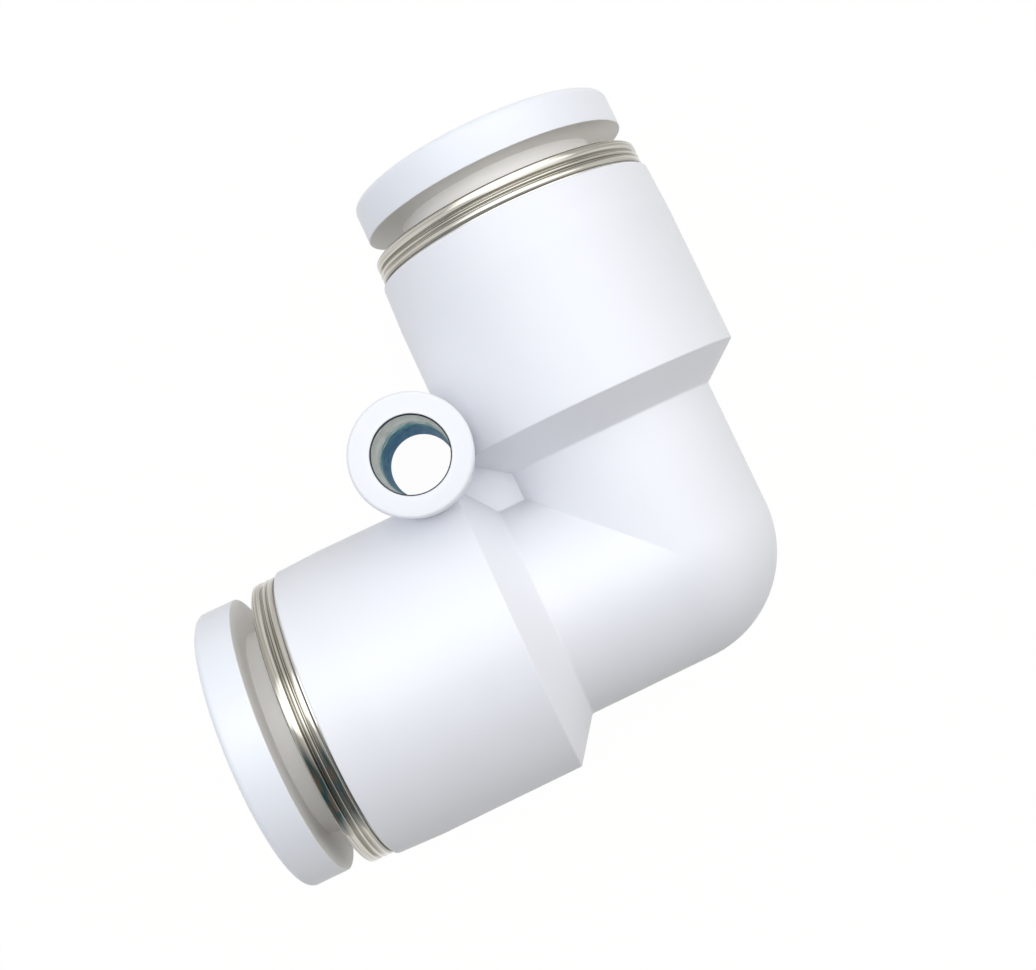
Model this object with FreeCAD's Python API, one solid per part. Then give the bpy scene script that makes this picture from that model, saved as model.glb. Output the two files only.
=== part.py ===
import FreeCAD, Part
import math
import os

# Push-in union elbow for plastic air tube, with a through boss for one mounting screw.
# Millimetres. The origin is on the boss hole's axis at its seating face, +X and +Y point out of
# the two ports and +Z points up along the boss. Both ports hold the same five pieces.

# Tube and flow
tube_diameter = 10.0
flow_diameter = 7.2
socket_clearance = 0.10
ring_clearance = 0.15
tooth_clearance = 0.07
lip_clearance = 0.07

# Walls, measured outward from the tube
neck_wall = 0.95
neck_running_clearance = 0.05
guide_wall = 1.05
collar_wall = 1.55
socket_wall = 1.30

# Lengths along a port, each measured from the end of the one before
arm_length = 8.0
cone_length = 1.8
cavity_floor = 1.2
seal_length = 3.0
seat_length = 1.5
claw_sheet = 0.3
press_clearance = 0.1
release_travel = 1.2
barb_length = 0.7
barb_clearance = 0.05
grip_length = 3.3
flange_length = 1.43
rim_clearance = 0.22
rim_length = 2.25

# Housing
stop_wall = 3.0
collar_edge = 0.2
boss_offset = 11.05
boss_wall = 1.07
boss_edge = 0.18
web_thickness = 1.6

# Mounting hole and the thin sleeve that lines it
hole_diameter = 4.2
bush_wall = 0.2

# Guide ring: the part that shows has a front and a rear land with a groove between them
flange_step = 1.28
front_land = 0.46
groove_width = 0.40
groove_depth = 0.22

# Release ring
rim_overhang = 2.15
rim_edge = 0.35
lead_in = 0.7
barb_step = 0.4
barb_room = 0.15
neck_slots = 4
neck_slot_width = 1.0
neck_slot_reach = 1.8

# Lock claws and their seat
tooth_count = 12
tooth_gap = 0.5
tooth_fall = 0.8
claw_band = 0.65
inner_fit = 0.05
seat_relief = 0.15
seat_clearance = 0.25

# Seal
seal_wall = 0.8
seal_lip = 0.45
seal_base = 0.9

# How far a cutting shape runs past what it cuts
overcut = 1.0

# Radii, from the tube outward
tube_radius = tube_diameter / 2
flow_radius = flow_diameter / 2
socket_radius = tube_radius + socket_clearance
ring_bore = tube_radius + ring_clearance
neck_radius = ring_bore + neck_wall
guide_bore = neck_radius + neck_running_clearance
cavity_radius = guide_bore + guide_wall
collar_radius = cavity_radius + collar_wall
arm_radius = socket_radius + socket_wall
flange_radius = cavity_radius + flange_step
rim_radius = neck_radius + rim_overhang
barb_radius = neck_radius + barb_step
skirt_radius = barb_radius + barb_room

# Stations along a port, from the crossing of the two port axes
stop_at = flow_radius + stop_wall
cone_at = arm_length
collar_at = cone_at + cone_length
floor_at = collar_at + cavity_floor
seat_at = floor_at + seal_length
claws_at = seat_at + seat_length
skirt_at = claws_at + claw_sheet
tip_at = skirt_at + press_clearance + release_travel
lip_at = tip_at + barb_length + barb_clearance
mouth_at = lip_at + grip_length
flange_at = mouth_at + flange_length
rim_at = flange_at + rim_clearance + release_travel
face_at = rim_at + rim_length

# Boss and hole
hole_radius = hole_diameter / 2
bush_radius = hole_radius + bush_wall
boss_radius = bush_radius + boss_wall
boss_height = 2 * collar_radius


def vec(s, r):
    """A point of a port's section: s along the port's axis, r out from it."""
    return FreeCAD.Vector(s, r, 0)


def profile(corners):
    """Closed face from (s, r) corners. A third number eases that corner with a flat of that reach."""
    points = []
    for i, corner in enumerate(corners):
        here = vec(*corner[:2])
        if len(corner) < 3:
            points.append(here)
            continue
        for other in (corners[i - 1], corners[(i + 1) % len(corners)]):
            side = vec(*other[:2]) - here
            reach = min(corner[2], 0.45 * side.Length)
            points.append(here + side.normalize() * reach)
    return Part.Face(Part.makePolygon(points + points[:1]))


def turned(corners):
    """Solid turned about the port's axis (local X)."""
    return profile(corners).revolve(vec(0, 0), FreeCAD.Vector(1, 0, 0), 360)


def bored(s0, s1, radius):
    """Plain cylinder along the port's axis."""
    return Part.makeCylinder(radius, s1 - s0, vec(s0, 0), FreeCAD.Vector(1, 0, 0))


def around(shape, count):
    """The shape repeated evenly about the port's axis."""
    copies = []
    for i in range(count):
        copy = shape.copy()
        copy.rotate(vec(0, 0), FreeCAD.Vector(1, 0, 0), 360 / count * i)
        copies.append(copy)
    return Part.makeCompound(copies)


def to_port(shape, port):
    """Turn a local shape to port a (+X) or port b (+Y)."""
    placed = shape.copy()
    if port == "b":
        placed.rotate(vec(0, 0), FreeCAD.Vector(0, 0, 1), 90)
    return placed


def to_frame(shape):
    """Move from the crossing of the port axes to the part's own origin."""
    placed = shape.copy()
    placed.translate(FreeCAD.Vector(-boss_offset, -boss_offset, collar_radius))
    return placed


def arm_outside():
    """One arm's outside: small tube, cone and collar."""
    return turned([
        (0, 0),
        (0, arm_radius),
        (cone_at, arm_radius),
        (collar_at, collar_radius),
        (mouth_at, collar_radius, collar_edge),
        (mouth_at, 0),
    ])


def arm_inside():
    """What is bored out of one arm: flow bore, tube socket and the cavity for the inner pieces."""
    cuts = bored(0, mouth_at, flow_radius)
    cuts = cuts.fuse(bored(stop_at, mouth_at, socket_radius))
    return cuts.fuse(bored(floor_at, mouth_at, cavity_radius))


def eased_post(radius, height, edge):
    """Upright cylinder centred on the mid-plane, with both rims eased."""
    post = Part.makeCylinder(radius, height, FreeCAD.Vector(0, 0, -height / 2))
    rims = [e for e in post.Edges if isinstance(e.Curve, Part.Circle)]
    return post.makeChamfer(min(edge, radius / 3), rims)


def make_housing():
    """Moulded body: two arms, the bend, the web and the boss, then everything bored out."""
    corner = FreeCAD.Vector(boss_offset, boss_offset, 0)
    boss = eased_post(boss_radius, boss_height, boss_edge)
    boss.translate(corner)
    web = Part.makeBox(boss_offset, boss_offset, web_thickness, FreeCAD.Vector(0, 0, -web_thickness / 2))
    bend = Part.makeSphere(arm_radius, FreeCAD.Vector(0, 0, 0), FreeCAD.Vector(1, -1, 0))
    body = arm_outside().fuse([to_port(arm_outside(), "b"), bend, web, boss]).removeSplitter()
    hole = Part.makeCylinder(bush_radius, boss_height, corner - FreeCAD.Vector(0, 0, boss_height / 2))
    knee = bored(-flow_radius, flow_radius, flow_radius)
    knee = knee.common(to_port(knee, "b"))
    return body.cut([arm_inside(), to_port(arm_inside(), "b"), knee, hole])


def make_bush():
    """Thin sleeve that lines the mounting hole from face to face."""
    low = FreeCAD.Vector(boss_offset, boss_offset, -boss_height / 2)
    sleeve = Part.makeCylinder(bush_radius, boss_height, low)
    return sleeve.cut(Part.makeCylinder(hole_radius, boss_height, low))


def make_guide_ring():
    """Plated ring pressed into the collar; its skirt clamps the claws and its lip keeps the release ring."""
    floor = flange_radius - groove_depth
    groove_at = flange_at - front_land
    rear_at = groove_at - groove_width
    return turned([
        (skirt_at, skirt_radius),
        (skirt_at, cavity_radius),
        (mouth_at, cavity_radius),
        (mouth_at, flange_radius),
        (rear_at, flange_radius),
        (rear_at, floor),
        (groove_at, floor),
        (groove_at, flange_radius),
        (flange_at, flange_radius),
        (flange_at, guide_bore),
        (lip_at, guide_bore),
        (lip_at, skirt_radius),
    ])


def make_release_ring():
    """Push ring: a rim outside, and a slotted neck with a snap barb behind the guide ring's lip."""
    barb_at = lip_at - barb_clearance
    ring = turned([
        (tip_at, ring_bore),
        (tip_at, neck_radius),
        (barb_at - barb_step / 2, barb_radius),
        (barb_at, barb_radius),
        (barb_at, neck_radius),
        (rim_at, neck_radius),
        (rim_at, rim_radius),
        (face_at, rim_radius, rim_edge),
        (face_at, ring_bore + lead_in),
        (face_at - lead_in, ring_bore),
    ])
    slot_end = lip_at + neck_slot_reach
    slot = Part.makeBox(slot_end - tip_at + overcut, neck_slot_width, barb_radius + overcut,
                        FreeCAD.Vector(tip_at - overcut, -neck_slot_width / 2, 0))
    return ring.cut(around(slot, neck_slots))


def claw_root():
    """Radius of the claws' flat band at its inner edge, between the teeth."""
    return cavity_radius - inner_fit - claw_band


def claw_bend():
    """Distance from the axis to the straight line where a tooth is bent."""
    return claw_root() * math.cos(math.pi / tooth_count)


def claw_slope():
    """Fall of a tooth towards the tube stop for each unit it reaches in."""
    return tooth_fall / (claw_bend() - tube_radius - tooth_clearance)


def make_tooth():
    """One flat tooth with the flat root that joins it to the band, narrowed to leave a gap on each side."""
    tip = tube_radius + tooth_clearance
    root = claw_root() + claw_band / 2
    side = profile([
        (claws_at, root),
        (skirt_at, root),
        (skirt_at, claw_bend()),
        (skirt_at - tooth_fall, tip),
        (claws_at - tooth_fall, tip),
        (claws_at, claw_bend()),
    ])
    half_angle = math.pi / tooth_count
    apex = tooth_gap / 2 / math.sin(half_angle)
    half_width = (root - apex) * math.tan(half_angle)
    side.translate(FreeCAD.Vector(0, 0, -half_width))
    low = claws_at - tooth_fall - overcut
    wedge = Part.Face(Part.makePolygon([
        FreeCAD.Vector(low, apex, 0),
        FreeCAD.Vector(low, root, half_width),
        FreeCAD.Vector(low, root, -half_width),
        FreeCAD.Vector(low, apex, 0),
    ]))
    return side.extrude(FreeCAD.Vector(0, 0, 2 * half_width)).common(
        wedge.extrude(FreeCAD.Vector(skirt_at + overcut - low, 0, 0)))


def make_lock_claws():
    """Pressed spring ring: a flat band with flat teeth bent in towards the tube stop."""
    band = bored(claws_at, skirt_at, claw_root() + claw_band).cut(bored(claws_at, skirt_at, claw_root()))
    return band.fuse(around(make_tooth(), tooth_count)).removeSplitter()


def make_claw_seat():
    """Ring that backs the claws, coned so that the teeth have room to bend."""
    bore = tube_radius + seat_clearance
    root = claw_root()
    cone_bottom = claws_at - seat_relief - claw_slope() * (root - bore)
    return turned([
        (seat_at, bore),
        (seat_at, cavity_radius - inner_fit),
        (claws_at, cavity_radius - inner_fit),
        (claws_at, root),
        (cone_bottom, bore),
    ])


def make_seal():
    """Rubber cup with an outer wall, a base against the claw seat and a lip that meets the tube."""
    lip = tube_radius + lip_clearance
    base_at = seat_at - seal_base
    return turned([
        (seat_at, lip + seal_lip),
        (seat_at, cavity_radius),
        (floor_at, cavity_radius),
        (floor_at, cavity_radius - seal_wall),
        (base_at, cavity_radius - seal_wall),
        (base_at, lip + seal_lip),
        (floor_at + seal_lip, lip + seal_lip),
        (floor_at + seal_lip, lip),
    ])


pieces = {
    "housing": make_housing(),
    "mount_bush": make_bush(),
}
for port in ("a", "b"):
    pieces["guide_ring_" + port] = to_port(make_guide_ring(), port)
    pieces["release_ring_" + port] = to_port(make_release_ring(), port)
    pieces["lock_claws_" + port] = to_port(make_lock_claws(), port)
    pieces["claw_seat_" + port] = to_port(make_claw_seat(), port)
    pieces["seal_" + port] = to_port(make_seal(), port)

os.makedirs("parts", exist_ok=True)
for node, shape in pieces.items():
    placed = to_frame(shape)
    placed.exportStep("parts/" + node + ".step")
    print(node, placed.isValid(), len(placed.Solids), round(placed.Volume, 1), placed.BoundBox)
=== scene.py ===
# %% [markdown]
# # A push-in elbow fitting, as a lesson in cells
# The object is a white push-in elbow for 10 mm air tube. It has a moulded body with two ports, a plated
# guide ring and a white release ring at each port, and a thin steel sleeve in its mounting hole. The CAD
# model is loaded first and stays as it is. Each piece that is seen is then built again with the small
# rounds and grooves that the CAD solids leave out, in the same place, and takes the CAD piece's part.

# %% Load the fixed frame
import math

import bmesh
import bpy
from mathutils import Matrix, Vector


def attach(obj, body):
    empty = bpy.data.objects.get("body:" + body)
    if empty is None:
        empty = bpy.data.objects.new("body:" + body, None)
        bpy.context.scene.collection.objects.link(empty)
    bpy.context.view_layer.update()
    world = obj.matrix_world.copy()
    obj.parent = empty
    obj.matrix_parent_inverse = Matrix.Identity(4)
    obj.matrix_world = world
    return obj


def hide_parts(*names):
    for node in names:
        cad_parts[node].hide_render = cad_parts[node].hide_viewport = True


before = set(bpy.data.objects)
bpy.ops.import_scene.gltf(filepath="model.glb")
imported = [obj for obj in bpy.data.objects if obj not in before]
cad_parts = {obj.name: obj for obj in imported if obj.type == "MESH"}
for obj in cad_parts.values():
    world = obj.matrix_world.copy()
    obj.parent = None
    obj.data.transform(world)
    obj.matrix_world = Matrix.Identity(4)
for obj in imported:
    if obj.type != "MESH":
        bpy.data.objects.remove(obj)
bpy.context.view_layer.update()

MM = 0.001

# %% [markdown]
# ## The sizes
# These are the real sizes in millimetres, and almost all have the CAD source's names. Stations run along
# a port's axis from the point where the two axes cross, and radii run out from that axis. Shapes are
# drawn in millimetres and made metres at the end, because millimetres are easier to read than thousandths
# of a metre.

# %% Name the sizes
arm_radius, collar_radius, cavity_radius = 6.40, 8.75, 7.20
socket_radius, flow_radius = 5.10, 3.60
stop_at, cone_at, collar_at, floor_at = 6.6, 8.0, 9.8, 11.0
claws_at, skirt_at, tip_at, lip_at, mouth_at = 15.5, 15.8, 17.1, 17.85, 21.15
flange_at, rim_at, face_at = 22.58, 24.00, 26.25
guide_bore, skirt_radius, flange_radius = 6.15, 6.65, 8.48
ring_bore, neck_radius, barb_radius, rim_radius = 5.15, 6.10, 6.50, 8.25
boss_offset, boss_radius, hole_radius, sleeve_radius = 11.05, 3.37, 2.10, 2.30
tube_radius = 5.0
CROSSING = Vector((-boss_offset, -boss_offset, collar_radius))
PORT_TURN = {"a": 0.0, "b": math.pi / 2}
STEPS_ROUND, STEPS_ROUND_HOLE = 256, 192
print("the axes cross at", tuple(CROSSING), "mm, and each port ends", face_at, "mm from there")

# %% [markdown]
# ## A section with true rounds
# Every edge of a moulded or turned piece has a small radius, and that radius is what catches the light. A
# section is therefore written as corners, each with its own radius, and this helper puts an arc in place
# of each corner.


# %% Round the corners of a section
DEGREES_PER_STEP = 11
SIDE_SHARE = 0.48


def corner_arc(before, here, after, radius):
    """The points that replace one corner of a section by an arc."""
    to_before, to_after = before - here, after - here
    turn = to_before.angle(to_after)
    reach = min(radius / math.tan(turn / 2), SIDE_SHARE * to_before.length, SIDE_SHARE * to_after.length)
    radius = reach * math.tan(turn / 2)
    bisector = (to_before.normalized() + to_after.normalized()).normalized()
    centre = here + bisector * (radius / math.sin(turn / 2))
    start = here + to_before.normalized() * reach - centre
    end = here + to_after.normalized() * reach - centre
    sweep = math.copysign(math.pi - turn, start.x * end.y - start.y * end.x)
    steps = max(2, math.ceil(abs(math.degrees(sweep)) / DEGREES_PER_STEP))
    points = []
    for k in range(steps + 1):
        cos, sin = math.cos(sweep * k / steps), math.sin(sweep * k / steps)
        points.append(centre + Vector((cos * start.x - sin * start.y, sin * start.x + cos * start.y)))
    return points


def section(corners, closed=True):
    """(station, radius) points of a section whose corners are (station, radius[, rounding])."""
    places = [Vector(corner[:2]) for corner in corners]
    points = []
    for i, corner in enumerate(corners):
        open_end = not closed and i in (0, len(corners) - 1)
        if len(corner) < 3 or open_end:
            points.append(places[i])
        else:
            points += corner_arc(places[i - 1], places[i], places[(i + 1) % len(places)], corner[2])
    return points


print("a square corner takes", len(section([(0, 0), (1, 0, 0.2), (1, 1)])) - 2, "points")

# %% [markdown]
# ## A lathe made of Geometry Nodes
# The rings, the sleeve and the boss all follow one rule: a section turned about an axis. A node tree can
# say that rule once. It takes the section as a chain of points, bends a grid round the axis with one row
# for each point, closes the seam, and then turns and moves the result to its port. Sine and cosine do the
# bending, so the rounds are exact.


# %% Build the lathe tree
def link(tree, source, target):
    """Join an output to an input."""
    tree.links.new(source, target)


def add(tree, kind, **settings):
    """A new node with its settings."""
    node = tree.nodes.new(kind)
    for name, value in settings.items():
        setattr(node, name, value)
    return node


def feed(tree, slot, value):
    """Give an input the output of another node, or a plain value."""
    if isinstance(value, bpy.types.NodeSocket):
        link(tree, value, slot)
    else:
        slot.default_value = value


def maths(tree, operation, *values):
    """A Math node. Each value is a socket or a number."""
    node = add(tree, "ShaderNodeMath", operation=operation)
    for slot, value in zip(node.inputs, values):
        feed(tree, slot, value)
    return node.outputs[0]


def split(tree, vector):
    """The X, Y and Z of a vector."""
    node = add(tree, "ShaderNodeSeparateXYZ")
    link(tree, vector, node.inputs["Vector"])
    return node.outputs


def new_tree(name, inputs):
    """A geometry tree with one geometry in, one out, and the named inputs."""
    tree = bpy.data.node_groups.new(name, "GeometryNodeTree")
    tree.interface.new_socket("Geometry", in_out="OUTPUT", socket_type="NodeSocketGeometry")
    tree.interface.new_socket("Geometry", in_out="INPUT", socket_type="NodeSocketGeometry")
    for socket_name, kind in inputs:
        tree.interface.new_socket(socket_name, in_out="INPUT", socket_type="NodeSocket" + kind)
    return tree, add(tree, "NodeGroupInput").outputs, add(tree, "NodeGroupOutput").inputs


def finish_tree(tree, given, geometry, result):
    """Turn and move the geometry to its port, make instances real and set the material."""
    rotation = add(tree, "ShaderNodeCombineXYZ")
    link(tree, given["Turn"], rotation.inputs["Z"])
    moved = add(tree, "GeometryNodeTransform")
    link(tree, geometry, moved.inputs["Geometry"])
    link(tree, rotation.outputs["Vector"], moved.inputs["Rotation"])
    link(tree, given["Centre"], moved.inputs["Translation"])
    real = add(tree, "GeometryNodeRealizeInstances")
    link(tree, moved.outputs["Geometry"], real.inputs["Geometry"])
    painted = add(tree, "GeometryNodeSetMaterial")
    link(tree, real.outputs["Geometry"], painted.inputs["Geometry"])
    link(tree, given["Material"], painted.inputs["Material"])
    link(tree, painted.outputs["Geometry"], result["Geometry"])


def lathe_tree(seam_gap=0.0005):
    """Section chain (x = station, y = radius) to a closed turned mesh."""
    tree, given, result = new_tree("Lathe", [
        ("Steps", "Int"), ("Turn", "Float"), ("Centre", "Vector"), ("Material", "Material")])
    count = add(tree, "GeometryNodeAttributeDomainSize", component="MESH")
    link(tree, given["Geometry"], count.inputs["Geometry"])
    rows = count.outputs["Point Count"]
    grid = add(tree, "GeometryNodeMeshGrid")
    link(tree, maths(tree, "ADD", given["Steps"], 1), grid.inputs["Vertices X"])
    link(tree, rows, grid.inputs["Vertices Y"])
    index = add(tree, "GeometryNodeInputIndex").outputs["Index"]
    place = add(tree, "GeometryNodeSampleIndex", data_type="FLOAT_VECTOR", domain="POINT")
    link(tree, given["Geometry"], place.inputs["Geometry"])
    link(tree, add(tree, "GeometryNodeInputPosition").outputs["Position"], place.inputs["Value"])
    link(tree, maths(tree, "MODULO", index, rows), place.inputs["Index"])
    parts = split(tree, place.outputs["Value"])
    column = maths(tree, "FLOOR", maths(tree, "DIVIDE", maths(tree, "ADD", index, 0.5), rows))
    angle = maths(tree, "MULTIPLY", maths(tree, "DIVIDE", column, given["Steps"]), 2 * math.pi)
    point = add(tree, "ShaderNodeCombineXYZ")
    link(tree, parts["X"], point.inputs["X"])
    link(tree, maths(tree, "MULTIPLY", parts["Y"], maths(tree, "COSINE", angle)), point.inputs["Y"])
    link(tree, maths(tree, "MULTIPLY", parts["Y"], maths(tree, "SINE", angle)), point.inputs["Z"])
    bent = add(tree, "GeometryNodeSetPosition")
    link(tree, grid.outputs["Mesh"], bent.inputs["Geometry"])
    link(tree, point.outputs["Vector"], bent.inputs["Position"])
    closed = add(tree, "GeometryNodeMergeByDistance")
    closed.inputs["Distance"].default_value = seam_gap
    link(tree, bent.outputs["Geometry"], closed.inputs["Geometry"])
    finish_tree(tree, given, closed.outputs["Geometry"], result)
    return tree


LATHE = lathe_tree()
print("lathe tree:", len(LATHE.nodes), "nodes, inputs",
      [item.name for item in LATHE.interface.items_tree if item.in_out == "INPUT"])

# %% [markdown]
# ## From tree to plain mesh
# The tree is only a tool here: its result is copied into a plain mesh, so that the piece can be cut,
# shaded and given to its body. Faces are made to point outwards, and edges sharper than a real corner are
# marked sharp.


# %% Helpers that run a tree and finish a mesh
def new_object(name, data):
    """A mesh, lamp or camera as an object in the scene."""
    thing = bpy.data.objects.new(name, data)
    bpy.context.scene.collection.objects.link(thing)
    return thing


def bake(piece):
    """Replace a piece's mesh by what its modifiers make of it, and remove them."""
    graph = bpy.context.evaluated_depsgraph_get()
    mesh = bpy.data.meshes.new_from_object(piece.evaluated_get(graph), depsgraph=graph)
    piece.modifiers.clear()
    piece.data = mesh


def tidy_mesh(piece, gap=0.0002):
    """Merge doubles and point all faces outwards."""
    shape = bmesh.new()
    shape.from_mesh(piece.data)
    bmesh.ops.remove_doubles(shape, verts=shape.verts, dist=gap)
    bmesh.ops.dissolve_degenerate(shape, edges=shape.edges, dist=gap / 4)
    bmesh.ops.recalc_face_normals(shape, faces=shape.faces)
    shape.to_mesh(piece.data)
    shape.free()
    return piece


def run_tree(piece, tree, port, material, **values):
    """Run a tree on a piece, with its named inputs set, and with the result turned and moved to a port."""
    values.update(Turn=PORT_TURN[port], Centre=CROSSING, Material=material)
    modifier = piece.modifiers.new(tree.name, "NODES")
    modifier.node_group = tree
    for item in tree.interface.items_tree:
        if item.in_out == "INPUT" and item.name in values:
            modifier[item.identifier] = values[item.name]
    bake(piece)
    return tidy_mesh(piece)


def turned(name, points, material, port="a", steps=STEPS_ROUND):
    """A ring turned about a port's axis from closed section points, in millimetres."""
    chain = points + points[:1]
    mesh = bpy.data.meshes.new(name)
    mesh.from_pydata([(p.x, p.y, 0) for p in chain], [(i, i + 1) for i in range(len(chain) - 1)], [])
    return run_tree(new_object(name, mesh), LATHE, port, material, Steps=steps)


def to_metres(piece, sharp_degrees=24):
    """Make a finished piece metres, with smooth rounds, flat flats and sharp creases."""
    tidy_mesh(piece)
    piece.data.transform(Matrix.Scale(MM, 4))
    piece.data.shade_smooth()
    piece.data.set_sharp_from_angle(angle=math.radians(sharp_degrees))
    weighted = piece.modifiers.new("flat flats", "WEIGHTED_NORMAL")
    weighted.keep_sharp = True
    bake(piece)
    shape = bmesh.new()
    shape.from_mesh(piece.data)
    open_edges = sum(1 for edge in shape.edges if not edge.is_manifold)
    triangles = sum(len(face.verts) - 2 for face in shape.faces)
    volume = shape.calc_volume(signed=True)
    shape.free()
    print(f"{piece.name}: {triangles} triangles, {open_edges} open edges, {volume / MM ** 3:.1f} mm3")
    return piece


print("mesh helpers:", run_tree.__name__, tidy_mesh.__name__, turned.__name__, to_metres.__name__)

# %% [markdown]
# ## Colours and effects that several finishes share
# A colour is written as it should look on a screen, from 0 to 255, and turned into the linear value that
# a shader reads. Moulded plastic is never quite even: the skin has a fine grain from the mould and its
# shade drifts a little over some millimetres. Turned and plated metal has fine lines that run round the
# axis. Both are node groups, so that each finish can use them with its own values.


# %% Shader helpers and the two shared effects
def screen(red, green, blue):
    """A screen colour from 0 to 255 as linear RGBA, by the upper branch of the sRGB curve."""
    linear = [((value / 255 + 0.055) / 1.055) ** 2.4 for value in (red, green, blue)]
    return (*linear, 1.0)


def shader_group(name, inputs, outputs):
    """An empty shader group with named sockets."""
    group = bpy.data.node_groups.new(name, "ShaderNodeTree")
    for socket_name, kind in inputs:
        group.interface.new_socket(socket_name, in_out="INPUT", socket_type="NodeSocket" + kind)
    for socket_name, kind in outputs:
        group.interface.new_socket(socket_name, in_out="OUTPUT", socket_type="NodeSocket" + kind)
    return group, add(group, "NodeGroupInput").outputs, add(group, "NodeGroupOutput").inputs


def noise(tree, vector, cells, detail):
    """A noise value in 0 to 1, with so many cells for each unit of the vector."""
    node = add(tree, "ShaderNodeTexNoise")
    link(tree, vector, node.inputs["Vector"])
    node.inputs["Scale"].default_value = cells
    node.inputs["Detail"].default_value = detail
    return node.outputs["Fac"]


def blend_colours(tree, factor, first, second):
    """Mix two colours, each a socket or RGBA."""
    node = add(tree, "ShaderNodeMix", data_type="RGBA")
    link(tree, factor, node.inputs["Factor"])
    slots = [s for s in node.inputs if s.type == "RGBA"]
    for slot, value in zip(slots, (first, second)):
        feed(tree, slot, value)
    return [s for s in node.outputs if s.type == "RGBA"][0]


def dot(tree, vector, direction):
    """How far a vector reaches in a direction."""
    node = add(tree, "ShaderNodeVectorMath", operation="DOT_PRODUCT")
    link(tree, vector, node.inputs[0])
    node.inputs[1].default_value = direction
    return node.outputs["Value"]


def stretch(tree, value, low, high, to_low=0.0, to_high=1.0):
    """Map a value from one range to another, clamped."""
    node = add(tree, "ShaderNodeMapRange")
    link(tree, value, node.inputs["Value"])
    for name, number in (("From Min", low), ("From Max", high), ("To Min", to_low), ("To Max", to_high)):
        feed(tree, node.inputs[name], number)
    return node.outputs["Result"]


def patches(tree, vector, cells, detail, to_low=0.0, to_high=1.0, spread=0.2):
    """Noise whose values within a spread of its middle are stretched to run from one value to another."""
    return stretch(tree, noise(tree, vector, cells, detail), 0.5 - spread, 0.5 + spread, to_low, to_high)


def moulded_skin_group(drift_cells=140, gloss_cells=900, grain_cells=9000):
    """Colour drift, roughness and grain of a moulded surface. Cells are counted per metre."""
    group, given, result = shader_group(
        "Moulded skin",
        [("Vector", "Vector"), ("Light", "Color"), ("Shade", "Color"),
         ("Gloss", "Float"), ("Dull", "Float")],
        [("Color", "Color"), ("Roughness", "Float"), ("Height", "Float")])
    drift = patches(group, given["Vector"], drift_cells, detail=1.0)
    link(group, blend_colours(group, drift, given["Light"], given["Shade"]), result["Color"])
    roughness = patches(group, given["Vector"], gloss_cells, detail=3.0,
                        to_low=given["Gloss"], to_high=given["Dull"])
    link(group, roughness, result["Roughness"])
    link(group, noise(group, given["Vector"], grain_cells, detail=4.0), result["Height"])
    return group


def turned_lines_group(detail=5.0, spread=0.15):
    """Fine lines round the X axis of the vector: a mask for tone, and a height."""
    group, given, result = shader_group(
        "Turned lines", [("Vector", "Vector"), ("Lines", "Float"), ("Along", "Float")],
        [("Mask", "Float"), ("Height", "Float")])
    scaled = add(group, "ShaderNodeCombineXYZ")
    link(group, given["Lines"], scaled.inputs["X"])
    link(group, given["Along"], scaled.inputs["Y"])
    link(group, given["Along"], scaled.inputs["Z"])
    product = add(group, "ShaderNodeVectorMath", operation="MULTIPLY")
    link(group, given["Vector"], product.inputs[0])
    link(group, scaled.outputs["Vector"], product.inputs[1])
    height = noise(group, product.outputs["Vector"], cells=1.0, detail=detail)
    link(group, stretch(group, height, 0.5 - spread, 0.5 + spread), result["Mask"])
    link(group, height, result["Height"])
    return group


SKIN = moulded_skin_group()
LINES = turned_lines_group()
print("shared effects:", SKIN.name, "and", LINES.name)


# %% [markdown]
# ## The finishes
# The body and the release rings are moulded in cool white plastic with a satin skin. On the release rings,
# the neck and the rim's back carry a painted warm light. The guide rings are brass with a bright nickel
# plating. The sleeve is rolled steel whose inside carries a painted reflection and shade, grey near the top
# and blue further down.
# The pieces deep inside are spring steel, a cream plastic and black rubber.


# %% Make a material from the shared effects
GRAIN_DEPTH = 0.01 * MM
# A warmer white for the release rings' necks and rims' backs: painted warm light.
NECK_PAINTED_WARM_LIGHT = screen(248, 246, 243)


def new_material(name):
    """A material with its shader, its Object coordinates and its tree."""
    material = bpy.data.materials.new(name)
    material.use_nodes = True
    tree = material.node_tree
    shader = tree.nodes["Principled BSDF"]
    coordinates = add(tree, "ShaderNodeTexCoord").outputs["Object"]
    return material, tree, shader, coordinates


def bump(tree, shader, height, distance, strength):
    """Let a height tilt the shading normal. The distance is in metres."""
    node = add(tree, "ShaderNodeBump")
    node.inputs["Distance"].default_value = distance
    node.inputs["Strength"].default_value = strength
    link(tree, height, node.inputs["Height"])
    link(tree, node.outputs["Normal"], shader.inputs["Normal"])


def moulded(name, light, shade, gloss, dull, grain):
    """A moulded plastic or rubber finish."""
    material, tree, shader, coordinates = new_material(name)
    skin = add(tree, "ShaderNodeGroup", node_tree=SKIN)
    link(tree, coordinates, skin.inputs["Vector"])
    skin.inputs["Light"].default_value, skin.inputs["Shade"].default_value = light, shade
    skin.inputs["Gloss"].default_value, skin.inputs["Dull"].default_value = gloss, dull
    link(tree, skin.outputs["Color"], shader.inputs["Base Color"])
    link(tree, skin.outputs["Roughness"], shader.inputs["Roughness"])
    bump(tree, shader, skin.outputs["Height"], GRAIN_DEPTH, grain)
    return material


def port_vector(tree, coordinates, port):
    """Object coordinates turned so that X is the station along a port's axis, in metres."""
    to_axis = add(tree, "ShaderNodeMapping", vector_type="TEXTURE")
    to_axis.inputs["Location"].default_value = CROSSING * MM
    to_axis.inputs["Rotation"].default_value = (0, 0, PORT_TURN[port])
    link(tree, coordinates, to_axis.inputs["Vector"])
    return to_axis.outputs["Vector"]


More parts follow.
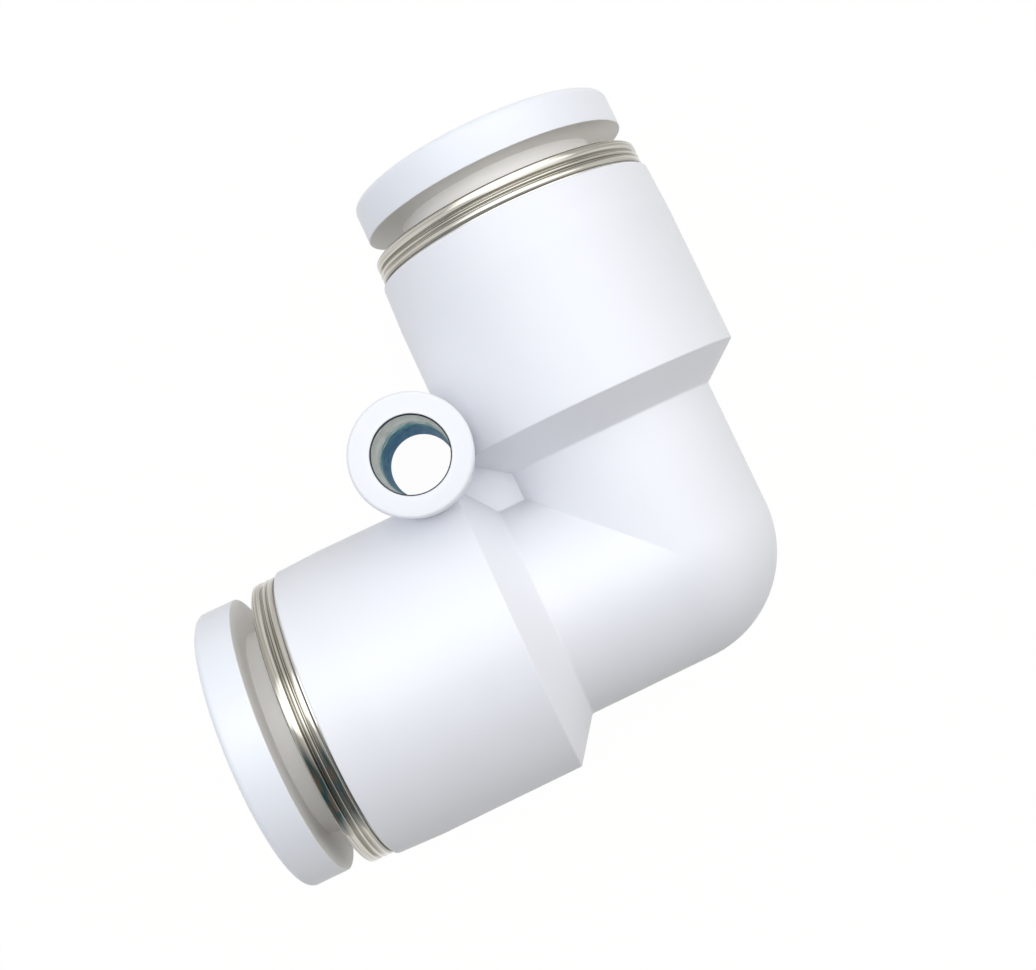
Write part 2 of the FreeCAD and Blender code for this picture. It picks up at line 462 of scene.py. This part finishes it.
def ring_plastic(port, back_depth=0.02, rim_depth=0.06):
    """White plastic whose neck and rim's back are painted a warmer white: painted warm light."""
    material = moulded("white_ring_plastic_port_" + port, screen(241, 243, 248), screen(239, 241, 246),
                       gloss=0.34, dull=0.42, grain=0.2)
    tree = material.node_tree
    base_colour = tree.nodes["Principled BSDF"].inputs["Base Color"]
    coordinates = add(tree, "ShaderNodeTexCoord").outputs["Object"]
    station = split(tree, port_vector(tree, coordinates, port))["X"]
    # Below this station the neck and the rim's back take the warmer white: painted warm light.
    outside = stretch(tree, station, (rim_at + back_depth) * MM, (rim_at + rim_depth) * MM)
    skin = base_colour.links[0].from_socket
    link(tree, blend_colours(tree, outside, NECK_PAINTED_WARM_LIGHT, skin), base_colour)
    return material


WHITE = moulded("white_satin_plastic", screen(241, 242, 246), screen(239, 240, 244),
                gloss=0.38, dull=0.46, grain=0.25)
RING_WHITE = {port: ring_plastic(port) for port in PORT_TURN}
CREAM = moulded("cream_seat_plastic", screen(226, 220, 204), screen(218, 211, 194),
                gloss=0.4, dull=0.5, grain=0.3)
RUBBER = moulded("black_seal_rubber", screen(38, 38, 40), screen(30, 30, 32),
                 gloss=0.5, dull=0.65, grain=0.5)
print("moulded finishes:", [m.name for m in (WHITE, *RING_WHITE.values(), CREAM, RUBBER)])


# %% [markdown]
# Turned and pressed metal has its lines round the axis of its own port, so each port has its own copy of
# a metal finish. The fewer cells the noise has along the lines, the longer they run.

# %% Turned and plated metal, with its lines round the right axis
LINE_DEPTH, LINE_STRENGTH = 0.003 * MM, 0.5


def turned_metal(name, port, light, shade, gloss, dull, lines=9000, along=120):
    """A metal finish whose lines run round a port's axis. Cells across and along them are per metre."""
    material, tree, shader, coordinates = new_material(name)
    effect = add(tree, "ShaderNodeGroup", node_tree=LINES)
    link(tree, port_vector(tree, coordinates, port), effect.inputs["Vector"])
    effect.inputs["Lines"].default_value, effect.inputs["Along"].default_value = lines, along
    link(tree, blend_colours(tree, effect.outputs["Mask"], light, shade), shader.inputs["Base Color"])
    link(tree, stretch(tree, effect.outputs["Mask"], 0, 1, gloss, dull), shader.inputs["Roughness"])
    shader.inputs["Metallic"].default_value = 1.0
    bump(tree, shader, effect.outputs["Height"], LINE_DEPTH, LINE_STRENGTH)
    return material


NICKEL, SPRING = {}, {}
for port in PORT_TURN:
    NICKEL[port] = turned_metal(
        "nickel_plate_port_" + port, port, screen(203, 200, 193), screen(150, 146, 135),
        gloss=0.07, dull=0.13)
    SPRING[port] = turned_metal(
        "spring_steel_port_" + port, port, screen(186, 188, 190), screen(160, 162, 165),
        gloss=0.2, dull=0.35, along=3000)
print("metal finishes:", [m.name for m in (*NICKEL.values(), *SPRING.values())])

# %% [markdown]
# ## The sleeve's finish
# Seen through its mouth, the sleeve's wall is grey near the top and turns teal and then navy blue further
# down. These colours are painted reflection and shade. The border is slanted and uneven: height and place
# across the hole decide the colour together, and a noise shifts it. Both ends of the tube are dark, partly
# oxide and partly painted shade. Seen edge on, metal turns white in a shader. A paler copy of the painted
# colour, given as the specular tint, keeps the wall coloured there.


# %% Heat-tinted steel
# The sleeve's colours are painted reflection and shade: grey near the mouth, teal and navy deeper in the
# hole.
BORDER_SLANT = (-0.1, 0.25, 1.0)
BORDER_WOBBLE = 1.3 * MM
PAINTED_HOLE_REFLECTION_TINTS = [(0.0, screen(20, 86, 118)), (0.46, screen(20, 92, 122)), (0.55, screen(60, 138, 150)),
              (0.63, screen(188, 206, 200)), (0.76, screen(234, 238, 230)), (1.0, screen(232, 236, 228))]
SLEEVE_GRAIN_DEPTH, SLEEVE_GRAIN = 0.004 * MM, 0.3


def colour_ramp(tree, value, stops):
    """Colours along a value, from stops given as (position, colour)."""
    ramp = add(tree, "ShaderNodeValToRGB")
    link(tree, value, ramp.inputs["Fac"])
    elements = ramp.color_ramp.elements
    elements[0].position, elements[0].color = stops[0]
    elements[1].position, elements[1].color = stops[-1]
    for position, colour in stops[1:-1]:
        elements.new(position).color = colour
    return ramp.outputs["Color"]


def painted_reflection_steel(top=2 * collar_radius * MM, end_oxide_and_shade_depth=0.3 * MM, paler=0.5):
    """Sleeve finish: a colour ramp along a slanted height that paints reflection and shade, and dark ends,
    partly oxide and partly painted shade.
    """
    material, tree, shader, coordinates = new_material("steel_with_painted_hole_reflection")
    wobble = patches(tree, coordinates, cells=1100, detail=4.0, to_low=-BORDER_WOBBLE, to_high=BORDER_WOBBLE)
    height = maths(tree, "ADD", dot(tree, coordinates, BORDER_SLANT), wobble)
    # Painted reflection and shade: the colour follows the slanted height.
    painted_hole_reflection = colour_ramp(tree, stretch(tree, height, 0.0, top), PAINTED_HOLE_REFLECTION_TINTS)
    # The last few tenths at each end are dark: partly oxide, partly painted shade under the plastic lap.
    from_middle = maths(tree, "ABSOLUTE", maths(tree, "SUBTRACT", split(tree, coordinates)["Z"], top / 2))
    at_end = maths(tree, "GREATER_THAN", from_middle, top / 2 - end_oxide_and_shade_depth)
    tint = blend_colours(tree, at_end, painted_hole_reflection, screen(60, 64, 68))
    link(tree, tint, shader.inputs["Base Color"])
    edge_on = add(tree, "ShaderNodeGamma")
    edge_on.inputs["Gamma"].default_value = paler
    link(tree, tint, edge_on.inputs["Color"])
    link(tree, edge_on.outputs["Color"], shader.inputs["Specular Tint"])
    dulness = patches(tree, coordinates, cells=2500, detail=3.0, to_low=0.28, to_high=0.42)
    link(tree, dulness, shader.inputs["Roughness"])
    shader.inputs["Metallic"].default_value = 1.0
    grain = noise(tree, coordinates, cells=12000, detail=2.0)
    bump(tree, shader, grain, SLEEVE_GRAIN_DEPTH, SLEEVE_GRAIN)
    return material


STEEL = painted_reflection_steel()
print("sleeve finish:", STEEL.name)

# %% [markdown]
# ## The guide rings
# A guide ring is turned brass pressed into the collar. Its part outside the collar has a wide front land,
# a groove, a thin ridge, a narrow groove and a rear land, and a dark gap parts it from the collar. Edges
# are only broken, with radii of a few hundredths of a millimetre, and each land is slightly crowned, so
# that its streaks have soft ends.

# %% Turn the guide rings
LAND_CROWN, CROWN_ROUND, BROKEN_EDGE, FRONT_BEVEL = 0.025, 0.9, 0.03, 0.10
flange_edge = flange_radius - LAND_CROWN
front_at = flange_at + 0.05
gap_from, gap_to, gap_floor = mouth_at + 0.01, mouth_at + 0.12, flange_radius - 0.16
rear_land = (mouth_at + 0.16, mouth_at + 0.44)
rear_groove = (mouth_at + 0.53, flange_radius - 0.17, BROKEN_EDGE)
ridge = (mouth_at + 0.60, mouth_at + 0.73)
front_groove = (mouth_at + 0.85, flange_radius - 0.25, BROKEN_EDGE)
front_land = (mouth_at + 0.96, front_at - FRONT_BEVEL)


def land(start, end, low_edge=BROKEN_EDGE, high_edge=BROKEN_EDGE):
    """A slightly crowned land between two stations."""
    top = ((start + end) / 2, flange_radius, CROWN_ROUND * (end - start))
    return [(start, flange_edge, low_edge), top, (end, flange_edge, high_edge)]


guide_section = section([
    (skirt_at, skirt_radius, 0.05), (skirt_at, cavity_radius, 0.12), (gap_from, cavity_radius),
    (gap_from, gap_floor, 0.02), (gap_to, gap_floor, 0.04),
    *land(*rear_land, low_edge=0.08), rear_groove, *land(*ridge), front_groove,
    *land(*front_land, low_edge=0.05),
    (front_at, flange_edge - FRONT_BEVEL, BROKEN_EDGE), (front_at, guide_bore, 0.12),
    (lip_at, guide_bore, 0.04), (lip_at, skirt_radius, 0.04)])
for port in PORT_TURN:
    ring = to_metres(turned("guide_ring_turned_" + port, guide_section, NICKEL[port], port))
    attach(ring, "elbow")
    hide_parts("guide_ring_" + port)

# %% [markdown]
# ## Something that repeats round an axis
# The release ring's neck has four slots, and the lock claws have twelve teeth. One slot or one tooth is
# drawn, and a second tree copies it evenly round the port's axis. The copies are made real, so that they
# can cut or be merged.


# %% Build the ring-of-copies tree
def copies_tree():
    """One piece of geometry, copied evenly round the X axis."""
    tree, given, result = new_tree("Ring of copies", [
        ("Count", "Int"), ("Turn", "Float"), ("Centre", "Vector"), ("Material", "Material")])
    points = add(tree, "GeometryNodePoints")
    link(tree, given["Count"], points.inputs["Count"])
    index = add(tree, "GeometryNodeInputIndex").outputs["Index"]
    rotation = add(tree, "ShaderNodeCombineXYZ")
    step = maths(tree, "DIVIDE", 2 * math.pi, given["Count"])
    link(tree, maths(tree, "MULTIPLY", index, step), rotation.inputs["X"])
    copies = add(tree, "GeometryNodeInstanceOnPoints")
    link(tree, points.outputs["Points"], copies.inputs["Points"])
    link(tree, given["Geometry"], copies.inputs["Instance"])
    link(tree, rotation.outputs["Vector"], copies.inputs["Rotation"])
    finish_tree(tree, given, copies.outputs["Instances"], result)
    return tree


COPIES = copies_tree()


def ring_of(name, mesh, count, material, port):
    """Copies of a mesh round a port's axis, as one mesh."""
    return run_tree(new_object(name, mesh), COPIES, port, material, Count=count)


print("ring-of-copies tree:", len(COPIES.nodes), "nodes")

# %% [markdown]
# ## Drawn shapes, and cuts
# A slot, a tooth and the web aren't turned. Each is drawn as a bmesh, a mesh that can be built point by
# point, and becomes a plain mesh when it is done. A boolean then cuts or joins two closed meshes. Its
# exact solver is slow but leaves clean edges.


# %% Helpers that draw and cut
def box_shape(*sides):
    """A box as a bmesh, from its low and high side in x, y and z."""
    shape = bmesh.new()
    bmesh.ops.create_cube(shape, size=1)
    for vertex in shape.verts:
        vertex.co = Vector([high if part > 0 else low for part, (low, high) in zip(vertex.co, sides)])
    return shape


def to_mesh(shape, name, *materials):
    """A bmesh as a mesh with its materials."""
    mesh = bpy.data.meshes.new(name)
    shape.to_mesh(mesh)
    shape.free()
    for material in materials:
        mesh.materials.append(material)
    return mesh


def cut(piece, tool, operation="DIFFERENCE"):
    """Boolean of a piece with a tool, which is then deleted."""
    modifier = piece.modifiers.new(operation, "BOOLEAN")
    modifier.operation, modifier.solver, modifier.object = operation, "EXACT", tool
    bake(piece)
    bpy.data.objects.remove(tool)


print("drawing and cutting helpers:", box_shape.__name__, to_mesh.__name__, cut.__name__)

# %% [markdown]
# ## The release rings
# A release ring is pushed towards the body to free the tube. Its rim has a well rounded front edge, a
# coned mouth that leads the tube in, and a tiny fillet where the neck meets the rim's back. The slots let
# the barbs spring inwards when the ring is snapped in.

# %% Turn the release rings and cut their slots
SLOT_COUNT, SLOT_WIDTH, SLOT_ROUND = 4, 1.0, 0.3
LEAD_IN = 0.7
barb_at = lip_at - 0.05
barb_top_at = barb_at - 0.2
slot_start, slot_end = tip_at - 1.0, lip_at + 1.8
slot_inner, slot_outer = 4.0, 7.5
release_section = section([
    (tip_at, ring_bore, 0.08), (tip_at, neck_radius, 0.12), (barb_top_at, barb_radius, 0.08),
    (barb_at, barb_radius, 0.05), (barb_at, neck_radius), (rim_at, neck_radius, 0.04),
    (rim_at, rim_radius, 0.06), (face_at, rim_radius, 0.42), (face_at, ring_bore + LEAD_IN, 0.15),
    (face_at - LEAD_IN, ring_bore, 0.25)])


def slot_mesh():
    """A box that cuts one slot through the neck, from outside its tip to a rounded end past the barb."""
    shape = box_shape((slot_start, slot_end), (-SLOT_WIDTH / 2, SLOT_WIDTH / 2), (slot_inner, slot_outer))
    upright_edges = [edge for edge in shape.edges if edge.verts[0].co.z != edge.verts[1].co.z]
    ends = [edge for edge in upright_edges if edge.verts[0].co.x > tip_at]
    bmesh.ops.bevel(shape, geom=ends, offset=SLOT_ROUND, segments=6, affect="EDGES")
    return to_mesh(shape, "slot")


for port in PORT_TURN:
    ring = turned("release_ring_moulded_" + port, release_section, RING_WHITE[port], port)
    cut(ring, ring_of("slots_" + port, slot_mesh(), SLOT_COUNT, RING_WHITE[port], port))
    to_metres(ring)
    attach(ring, "release_" + port)
    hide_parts("release_ring_" + port)

# %% [markdown]
# ## The lock claws
# The claws are pressed from one sheet of spring steel: a flat band, and twelve teeth that slope in
# towards the tube's stop. One twelfth is drawn with thickness, its band ends open so that the copies join
# into one ring.


# %% Press the lock claws
TOOTH_COUNT, TOOTH_GAP, TOOTH_FALL, CLAW_SHEET = 12, 0.5, 0.8, 0.3
band_outer_radius, band_root_radius = cavity_radius - 0.05, cavity_radius - 0.70
tooth_tip = tube_radius + 0.07


def claw_mesh(columns=12, near_bend=0.12, near_tip=0.3):
    """One twelfth of the claws: a flat band, and a flat tooth whose tip is hollowed to the tube's round."""
    half = math.pi / TOOTH_COUNT
    bend = band_root_radius * math.cos(half)
    shape = bmesh.new()

    def across(distance):
        """Places across the tooth at a distance from the axis."""
        edge = distance * math.tan(half) - TOOTH_GAP / 2 / math.cos(half)
        return [(2 * k / columns - 1) * edge for k in range(columns + 1)]

    def row(places):
        """Points on both faces of the sheet, which falls from the bend to the tip."""
        pairs = []
        for side, out in places:
            low = claws_at - TOOTH_FALL * max(0.0, bend - out) / (bend - tooth_tip)
            pairs.append([shape.verts.new((low + up, side, out)) for up in (0, CLAW_SHEET)])
        return pairs

    def wall(first, second):
        """The sheet's cut edge between two points."""
        shape.faces.new((first[0], first[1], second[1], second[0]))

    def strip(first, second):
        """Both faces of the sheet between two rows."""
        for k in range(len(first) - 1):
            for layer in (0, 1):
                here, there = first[k][layer], first[k + 1][layer]
                shape.faces.new((here, there, second[k + 1][layer], second[k][layer]))

    band_sides = [-bend * math.tan(half), *across(bend), bend * math.tan(half)]
    angles = [math.atan(side / bend) for side in band_sides]
    band_outer = row([(band_outer_radius * math.sin(a), band_outer_radius * math.cos(a)) for a in angles])
    band_root = row([(side, bend) for side in band_sides])
    strip(band_outer, band_root)
    for k in range(len(band_outer) - 1):
        wall(band_outer[k], band_outer[k + 1])
    wall(band_root[0], band_root[1])
    wall(band_root[-2], band_root[-1])
    rows = [band_root[1:-1]]
    for distance in (bend - near_bend, (bend + tooth_tip) / 2, tooth_tip + near_tip):
        rows.append(row([(side, distance) for side in across(distance)]))
    rows.append(row([(side, math.sqrt(tooth_tip ** 2 - side ** 2)) for side in across(tooth_tip)]))
    for first, second in zip(rows, rows[1:]):
        strip(first, second)
        wall(first[0], second[0])
        wall(first[-1], second[-1])
    for k in range(columns):
        wall(rows[-1][k], rows[-1][k + 1])
    return to_mesh(shape, "claw")


for port in PORT_TURN:
    claws = to_metres(ring_of("lock_claws_pressed_" + port, claw_mesh(), TOOTH_COUNT, SPRING[port], port))
    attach(claws, "elbow")
    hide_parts("lock_claws_" + port)

# %% [markdown]
# ## The claw seats and the seals
# Nobody sees more of these than an edge deep in a port, and their CAD shape is right. They stay, and only
# take a moulded finish.

# %% Give the pieces that stay their finish
for port in PORT_TURN:
    for node, finish in (("claw_seat_" + port, CREAM), ("seal_" + port, RUBBER)):
        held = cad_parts[node]
        held.data.materials.clear()
        held.data.materials.append(finish)
        print(node, "is now", finish.name)

# %% [markdown]
# ## The sleeve in the mounting hole
# The sleeve is a rolled tube that the boss is moulded round. The plastic laps over both its ends and
# leaves only a thin ring of it bare, round the hole, dark with oxide and painted shade. The lathe turns it
# about the X axis like the rings, so here it is stood upright afterwards, on the hole's own axis.


# %% Turn the sleeve
LAP_DEPTH, LAP_RADIUS = 0.12, 2.17


def upright(piece):
    """Stand a piece turned about X at the crossing onto the hole's axis."""
    to_middle = Matrix.Translation(Vector((0, 0, collar_radius)))
    stand = Matrix.Rotation(-math.pi / 2, 4, "Y")
    piece.data.transform(to_middle @ stand @ Matrix.Translation(-CROSSING))
    return piece


sleeve_end = collar_radius - LAP_DEPTH
sleeve_section = section([
    (-sleeve_end, hole_radius, 0.05), (-sleeve_end, sleeve_radius, 0.03),
    (sleeve_end, sleeve_radius, 0.03), (sleeve_end, hole_radius, 0.05)])
sleeve = to_metres(upright(turned("sleeve_rolled", sleeve_section, STEEL, steps=STEPS_ROUND_HOLE)))
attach(sleeve, "elbow")
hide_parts("mount_bush")

# %% [markdown]
# ## The moulded body: one skin for both arms
# The two arms are the same, mirrored across the plane between them. Their skins meet there: in the inner
# corner they make a sharp crease, and outside they are joined by a round bend. So the skin is one grid.
# Each column starts at the bend, runs out along an arm, round its mouth, back inside to the flow bore,
# and the same on the other arm. Columns inside the corner have no bend: their points fall together on the
# crease and are merged.

# %% Draw the skin of both arms
BEND_RADIUS, BEND_STEPS = 0.33, 30
TAPER_LENGTH, TAPER_DROP = 2.8, 0.12
tube_end = cone_at - 0.3
arm_section = section([
    (cone_at - 1.0, arm_radius), (cone_at, arm_radius, 0.22), (collar_at, collar_radius, 0.13),
    (mouth_at - TAPER_LENGTH, collar_radius, 0.3), (mouth_at, collar_radius - TAPER_DROP, 0.14),
    (mouth_at, cavity_radius, 0.04), (floor_at, cavity_radius, 0.15), (floor_at, socket_radius, 0.15),
    (stop_at, socket_radius, 0.1), (stop_at, flow_radius, 0.2), (stop_at - 1.0, flow_radius)], closed=False)


def start_rows(first, knee, fractions=(0.0, 0.015, 0.25, 0.5, 0.75)):
    """Stations from the knee to where the section begins."""
    return [knee + (first - knee) * f for f in fractions]


def column_points(cos):
    """One closed column of the skin, as (along arm, across to the other arm, radius used for height)."""
    inner_corner = arm_radius * cos > BEND_RADIUS
    knee = arm_radius * cos if inner_corner else BEND_RADIUS
    outer = [(s, arm_radius) for s in start_rows(tube_end, knee)] + [tuple(p) for p in arm_section[1:-1]]
    inner_end = arm_section[-2].x
    inner = [(s, flow_radius) for s in reversed(start_rows(inner_end, flow_radius * cos))]
    arm = outer + inner
    points = [(s, r * cos, r) for s, r in arm]
    points += [(r * cos, s, r) for s, r in reversed(arm)]
    reach = BEND_RADIUS - arm_radius * cos
    for k in range(1, BEND_STEPS):
        turn = math.pi + math.pi / 2 * k / BEND_STEPS
        along, across = BEND_RADIUS + reach * math.cos(turn), BEND_RADIUS + reach * math.sin(turn)
        points.append((knee, knee, arm_radius) if inner_corner else (along, across, arm_radius))
    return points


def body_skin():
    """The closed skin of both arms, in millimetres from the crossing."""
    crease = math.acos(BEND_RADIUS / arm_radius)
    angles = [2 * math.pi * k / STEPS_ROUND for k in range(STEPS_ROUND)]
    for special in (crease, 2 * math.pi - crease):
        nearest = min(range(STEPS_ROUND), key=lambda k: abs(angles[k] - special))
        angles[nearest] = special
    shape = bmesh.new()
    columns = []
    for angle in angles:
        cos, sin = math.cos(angle), math.sin(angle)
        columns.append([shape.verts.new((x, y, r * sin)) for x, y, r in column_points(cos)])
    for first, second in zip(columns, columns[1:] + columns[:1]):
        for k in range(len(first)):
            n = (k + 1) % len(first)
            shape.faces.new((first[k], first[n], second[n], second[k]))
    return tidy_mesh(new_object("elbow_body", to_mesh(shape, "skin", WHITE)))


body = body_skin()
print("skin:", len(body.data.vertices), "points,", len(body.data.polygons), "faces")

# %% [markdown]
# ## The web and the boss
# A flat web fills the inner corner, and the boss stands in it with a hole for a screw. They are joined to
# the skin by exact booleans, which leave the crisp inner edges that the moulding has. The hole is cut
# last.


# %% Join the web and the boss, then bore the hole
def web_plate(low=5.6, high=10.9, thickness=1.6):
    """Square plate between the arms, seen only as a five-sided patch."""
    shape = box_shape((low, high), (low, high), (-thickness / 2, thickness / 2))
    return new_object("web", to_mesh(shape, "web", WHITE))


def post(name, half_section):
    """Solid upright post on the hole's axis, from the section of its upper half, in millimetres."""
    lower_half = [(-corner[0], *corner[1:]) for corner in reversed(half_section)]
    whole = section(lower_half + half_section, closed=False)
    piece = upright(turned(name, whole, WHITE, steps=STEPS_ROUND_HOLE))
    piece.data.transform(Matrix.Translation(-CROSSING))
    return piece


hole_gap, flare, flare_depth, past_face = 0.01, 0.05, 0.03, 0.02
mouth_radius = LAP_RADIUS + flare
past_boss = collar_radius + 1.0
boss_section = [(collar_radius, boss_radius, 0.2), (collar_radius, 0)]
hole_section = [(sleeve_end, sleeve_radius + hole_gap), (sleeve_end, LAP_RADIUS, 0.02),
                (collar_radius - flare_depth, LAP_RADIUS, 0.02), (collar_radius + past_face, mouth_radius),
                (past_boss, mouth_radius), (past_boss, 0)]
cut(body, web_plate(), "UNION")
cut(body, post("boss", boss_section), "UNION")
cut(body, post("hole", hole_section))
body.data.transform(Matrix.Translation(CROSSING))
to_metres(body)
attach(body, "elbow")
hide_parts("housing")

# %% [markdown]
# ## The stage
# The floor is plain. The photograph's background is pure white, so to the camera, and in reflections,
# most of the floor's and the world's brightness is their own, and adds up to white. The rest of the floor
# is warm grey paint, and that part keeps the object's soft shadow.


# %% Lay the floor
def seen_directly(tree, share):
    """The share for camera, glossy and transmission rays, and 0 for the others."""
    path = add(tree, "ShaderNodeLightPath")
    either = maths(tree, "MAXIMUM", path.outputs["Is Camera Ray"], path.outputs["Is Glossy Ray"])
    either = maths(tree, "MAXIMUM", either, path.outputs["Is Transmission Ray"])
    return maths(tree, "MULTIPLY", either, share)


def join_surface(tree, surface, usual, direct, share):
    """Give a surface its usual shader, and to camera and mirror rays a share of another one."""
    mixed = add(tree, "ShaderNodeMixShader")
    link(tree, seen_directly(tree, share), mixed.inputs[0])
    link(tree, usual, mixed.inputs[1])
    link(tree, direct, mixed.inputs[2])
    link(tree, mixed.outputs["Shader"], surface)


def rectangle(name, half_width, half_height):
    """A flat rectangle facing +Z, as a piece of the stage."""
    mesh = bpy.data.meshes.new(name)
    corners = [(-half_width, -half_height, 0), (half_width, -half_height, 0),
               (half_width, half_height, 0), (-half_width, half_height, 0)]
    mesh.from_pydata(corners, [], [(0, 1, 2, 3)])
    plane = new_object(name, mesh)
    return plane


def stage_floor(size=1.2, own_light=0.92, glow_strength=1.06, drop=0.02 * MM):
    """A large floor, a hair below z = 0 so that no face of the boss lies in it."""
    plane = rectangle("floor", size, size)
    plane.location.z = -drop
    material, tree, shader, _ = new_material("pale_floor")
    shader.inputs["Base Color"].default_value = screen(158, 152, 143)
    shader.inputs["Roughness"].default_value = 0.9
    glow = add(tree, "ShaderNodeEmission")
    glow.inputs["Strength"].default_value = glow_strength
    surface = tree.nodes["Material Output"].inputs["Surface"]
    join_surface(tree, surface, shader.outputs["BSDF"], glow.outputs["Emission"], own_light)
    plane.data.materials.append(material)


stage_floor()
bpy.context.scene.view_settings.view_transform = "Standard"
print("the floor is laid")

# %% [markdown]
# ## The camera
# The camera stands almost straight above the fitting. Its place and lens were fitted to the photograph's
# outlines.

# %% Place the camera
RIGHT = Vector((-0.42357, -0.90540, 0.02904))
UP = Vector((0.90217, -0.41873, 0.10372))
BACK = Vector((-0.08175, 0.07013, 0.99418))
CAMERA_AT = Vector((-4.382, -1.860, 89.371)) * MM


def facing(right, up, back):
    """A turn that takes X, Y and Z to three given directions."""
    return Matrix((right, up, back)).transposed().to_4x4()


lens = bpy.data.cameras.new("view")
lens.sensor_fit, lens.sensor_width, lens.lens = "HORIZONTAL", 36.0, 47.526
lens.shift_x, lens.shift_y = 0.0, -0.1082
lens.clip_start, lens.clip_end = 0.002, 20.0
camera = new_object("camera", lens)
camera.matrix_world = Matrix.Translation(CAMERA_AT) @ facing(RIGHT, UP, BACK)
bpy.context.scene.camera = camera
print("lens", lens.lens, "mm at", tuple(camera.location))

# %% [markdown]
# ## The light
# Most of the light comes from a long lamp, hung in the next step. The rest is soft light, given to the
# world as a few broad patches, each strongest in one direction: from the top, the right and the left of
# the picture. Almost nothing shines from the picture's lower edge, and faces turned that way go grey.

# %% Give the world its soft patches
DAYLIGHT, PURE_WHITE = screen(252, 253, 255), screen(255, 255, 255)
PATCH_FOCUS = 3.0


def studio_world(soft_patches):
    """White to the camera and to reflections, and else a sum of patches (direction, level, colour)."""
    world = bpy.data.worlds.new("studio")
    world.use_nodes = True
    tree = world.node_tree
    direction = add(tree, "ShaderNodeTexCoord").outputs["Generated"]
    total = None
    for towards, level, colour in soft_patches:
        closeness = maths(tree, "MAXIMUM", dot(tree, direction, towards.normalized()), 0.0)
        spread = maths(tree, "POWER", closeness, PATCH_FOCUS)
        patch = add(tree, "ShaderNodeVectorMath", operation="SCALE")
        patch.inputs[0].default_value = [level * part for part in colour[:3]]
        link(tree, spread, patch.inputs["Scale"])
        if total is None:
            total = patch.outputs["Vector"]
        else:
            both = add(tree, "ShaderNodeVectorMath", operation="ADD")
            link(tree, total, both.inputs[0])
            link(tree, patch.outputs["Vector"], both.inputs[1])
            total = both.outputs["Vector"]
    dome = tree.nodes["Background"]
    link(tree, total, dome.inputs["Color"])
    white = add(tree, "ShaderNodeBackground")
    white.inputs["Color"].default_value = PURE_WHITE
    surface = tree.nodes["World Output"].inputs["Surface"]
    join_surface(tree, surface, dome.outputs["Background"], white.outputs["Background"], 1.0)
    bpy.context.scene.world = world


def leaning(sideways, degrees):
    """A direction so many degrees above the picture's plane, towards one of its sides."""
    up = math.radians(degrees)
    return sideways.normalized() * math.cos(up) + BACK * math.sin(up)


studio_world([
    (leaning(UP, 48), 0.86, DAYLIGHT),
    (leaning(-UP, 72), 0.12, DAYLIGHT),
    (leaning(RIGHT + 0.6 * UP, 15), 1.06, DAYLIGHT),
    (leaning(-RIGHT, 15), 1.26, screen(239, 246, 255))])
print("the world has four soft patches")

# %% [markdown]
# The long lamp hangs straight above the fitting. Polished metal needs something to mirror, so two cards
# that only reflections can see stand round the part. A bright one makes the white streak on each guide
# ring, and a dark one the patch beside the streak. The lamp itself isn't mirrored, or there would be two
# streaks.

# %% Hang the long lamp and its two cards
AIM = Vector((-2, -2, 9)) * MM
STRAIGHT_UP = Vector((0, 0, 1))


def aimed(thing, direction, distance):
    """Put a lamp or a card at a distance, facing the part, with its X side along the frame's Y axis."""
    towards = direction.normalized()
    across = (Vector((0, 1, 0)) - towards * towards.y).normalized()
    turn = facing(across, towards.cross(across), towards)
    thing.matrix_world = Matrix.Translation(AIM + towards * distance) @ turn


def long_lamp(direction, distance, length, width, radiance):
    """A long lamp that lights the part and isn't seen in reflections. The card in its place is."""
    lamp = bpy.data.lights.new("long_lamp", "AREA")
    lamp.shape, lamp.size, lamp.size_y = "RECTANGLE", length, width
    lamp.energy = radiance * math.pi * length * width
    lamp.color = DAYLIGHT[:3]
    holder = new_object("long_lamp", lamp)
    aimed(holder, direction, distance)
    holder.visible_glossy = False


def card(name, direction, distance, half_length, half_width, fade, strength, first, second, cells=22):
    """A card in two mottled colours, seen in reflections only, that fades to white at its rim."""
    piece = rectangle(name, half_length, half_width)
    aimed(piece, direction, distance)
    piece.visible_camera = piece.visible_diffuse = piece.visible_shadow = piece.visible_transmission = False
    material, tree, _, coordinates = new_material(name)
    fitted = add(tree, "ShaderNodeMapping", vector_type="POINT")
    fitted.inputs["Scale"].default_value = (1 / half_length, 1 / half_width, 1)
    link(tree, coordinates, fitted.inputs["Vector"])
    from_centre = add(tree, "ShaderNodeTexGradient", gradient_type="SPHERICAL")
    link(tree, fitted.outputs["Vector"], from_centre.inputs["Vector"])
    depth = stretch(tree, from_centre.outputs["Fac"], 0.0, fade)
    mottle = patches(tree, coordinates, cells, detail=2.0, spread=0.08)
    tints = blend_colours(tree, mottle, first, second)
    glow = add(tree, "ShaderNodeEmission")
    link(tree, blend_colours(tree, depth, PURE_WHITE, tints), glow.inputs["Color"])
    link(tree, stretch(tree, depth, 0.0, 1.0, 1.0, strength), glow.inputs["Strength"])
    link(tree, glow.outputs["Emission"], tree.nodes["Material Output"].inputs["Surface"])
    piece.data.materials.append(material)


long_lamp(STRAIGHT_UP, distance=0.35, length=1.0, width=0.23, radiance=1.14)
card("bright_card", BACK + 0.5 * UP, distance=0.34, half_length=0.55, half_width=0.17,
     fade=0.6, strength=3.4, first=PURE_WHITE, second=screen(246, 250, 255))
card("dark_card", BACK - 1.06 * UP, distance=0.15, half_length=0.25, half_width=0.165,
     fade=0.62, strength=1.0, first=screen(40, 92, 104), second=screen(118, 102, 94))
